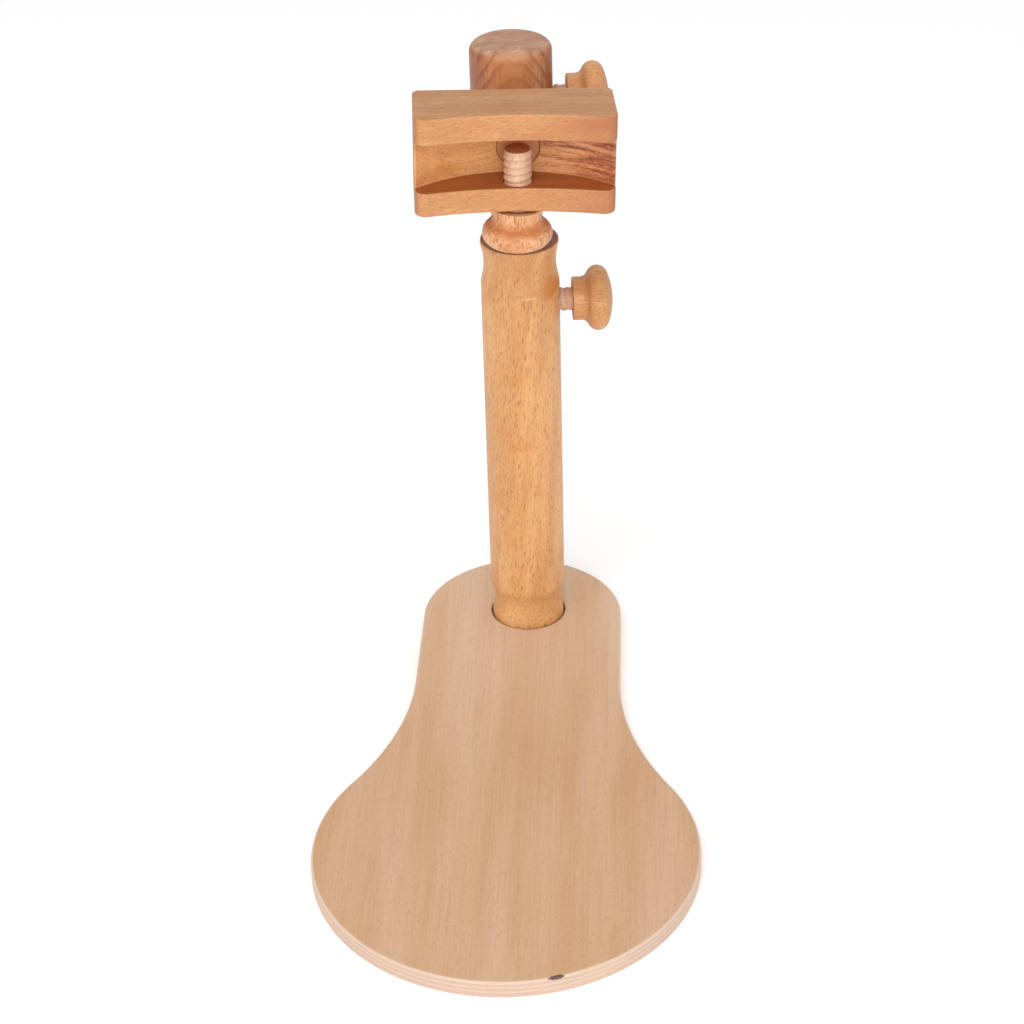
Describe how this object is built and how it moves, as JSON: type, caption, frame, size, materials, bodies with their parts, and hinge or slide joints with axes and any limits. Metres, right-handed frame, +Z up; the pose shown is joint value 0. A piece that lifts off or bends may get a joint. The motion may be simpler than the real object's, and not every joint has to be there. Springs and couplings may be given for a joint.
{
  "type": "embroidery hoop seat stand",
  "caption": "Beech seat stand for an embroidery hoop: a paddle-shaped board to sit on, a height-adjustable post and a tilting screw clamp.",
  "frame": {"origin": "underside of the base board, on the axis of the column", "axes": "+Z up along the column; the wide seat end of the board points to -Y, +X is the side of the two locking knobs"},
  "size_m": [0.168, 0.312, 0.303],
  "materials": {
    "beech_ply": "sanded veneer face, layered edge",
    "zinc": "zinc plated",
    "beech_turned": "satin oil",
    "beech_plain": "sanded",
    "beech_brown": "satin oil, browner heartwood",
    "beech_orange": "satin oil, orange-brown",
    "beech_raw": "raw, cut thread"
  },
  "bodies": {
    "base": {"base_board": "beech_ply", "foot_screw": "zinc", "column": "beech_turned"},
    "rod": {"lift_rod": "beech_plain"},
    "head": {"head": "beech_brown"},
    "arm": {"arm": "beech_plain"},
    "block": {"clamp_block": "beech_orange"},
    "height_screw": {"height_screw": "beech_raw"},
    "height_knob": {"height_knob": "beech_turned"},
    "arm_screw": {"arm_screw": "beech_raw"},
    "arm_knob": {"arm_knob": "beech_turned"},
    "clamp_screw": {"clamp_screw": "beech_raw"},
    "clamp_knob": {"clamp_knob": "beech_turned"}
  },
  "joints": [
    {"name": "height", "type": "slide", "parent": "base", "child": "rod", "axis": [0, 0, 1], "range_m": [-0.021, 0.085]},
    {"name": "swivel", "type": "hinge", "parent": "rod", "child": "head", "pos_m": [-0.0008, -0.00008, 0.232], "axis": [0, 0, 1], "continuous": true},
    {"name": "reach", "type": "slide", "parent": "head", "child": "arm", "axis": [0.0976, -0.9952, 0], "range_m": [-0.016, 0.018]},
    {"name": "tilt", "type": "hinge", "parent": "arm", "child": "block", "pos_m": [0.00202, -0.03798, 0.275], "axis": [0.0976, -0.9952, 0], "continuous": true},
    {"name": "height_screw_travel", "type": "slide", "parent": "base", "child": "height_screw", "axis": [0.9952, 0.0976, 0], "range_m": [0, 0.0032]},
    {"name": "height_knob_turn", "type": "hinge", "parent": "height_screw", "child": "height_knob", "pos_m": [0.02359, 0.00231, 0.178], "axis": [0.9952, 0.0976, 0], "range_deg": [0, 360]},
    {"name": "arm_screw_travel", "type": "slide", "parent": "head", "child": "arm_screw", "axis": [0.9952, 0.0976, 0], "range_m": [0, 0.0032]},
    {"name": "arm_knob_turn", "type": "hinge", "parent": "arm_screw", "child": "arm_knob", "pos_m": [0.02219, 0.00218, 0.2767], "axis": [0.9952, 0.0976, 0], "range_deg": [0, 360]},
    {"name": "clamp_screw_travel", "type": "slide", "parent": "block", "child": "clamp_screw", "axis": [-0.0295, -0.0029, -0.9996], "range_m": [0, 0.016]},
    {"name": "clamp_knob_turn", "type": "hinge", "parent": "clamp_screw", "child": "clamp_knob", "pos_m": [0.00263, -0.05842, 0.25198], "axis": [-0.0295, -0.0029, -0.9996], "range_deg": [0, 1800]}
  ],
  "couplings": [
    {"joint": "height_knob_turn", "follows": "height_screw_travel", "rad_per_m": 1963.5},
    {"joint": "arm_knob_turn", "follows": "arm_screw_travel", "rad_per_m": 1963.5},
    {"joint": "clamp_knob_turn", "follows": "clamp_screw_travel", "rad_per_m": 1963.5}
  ]
}
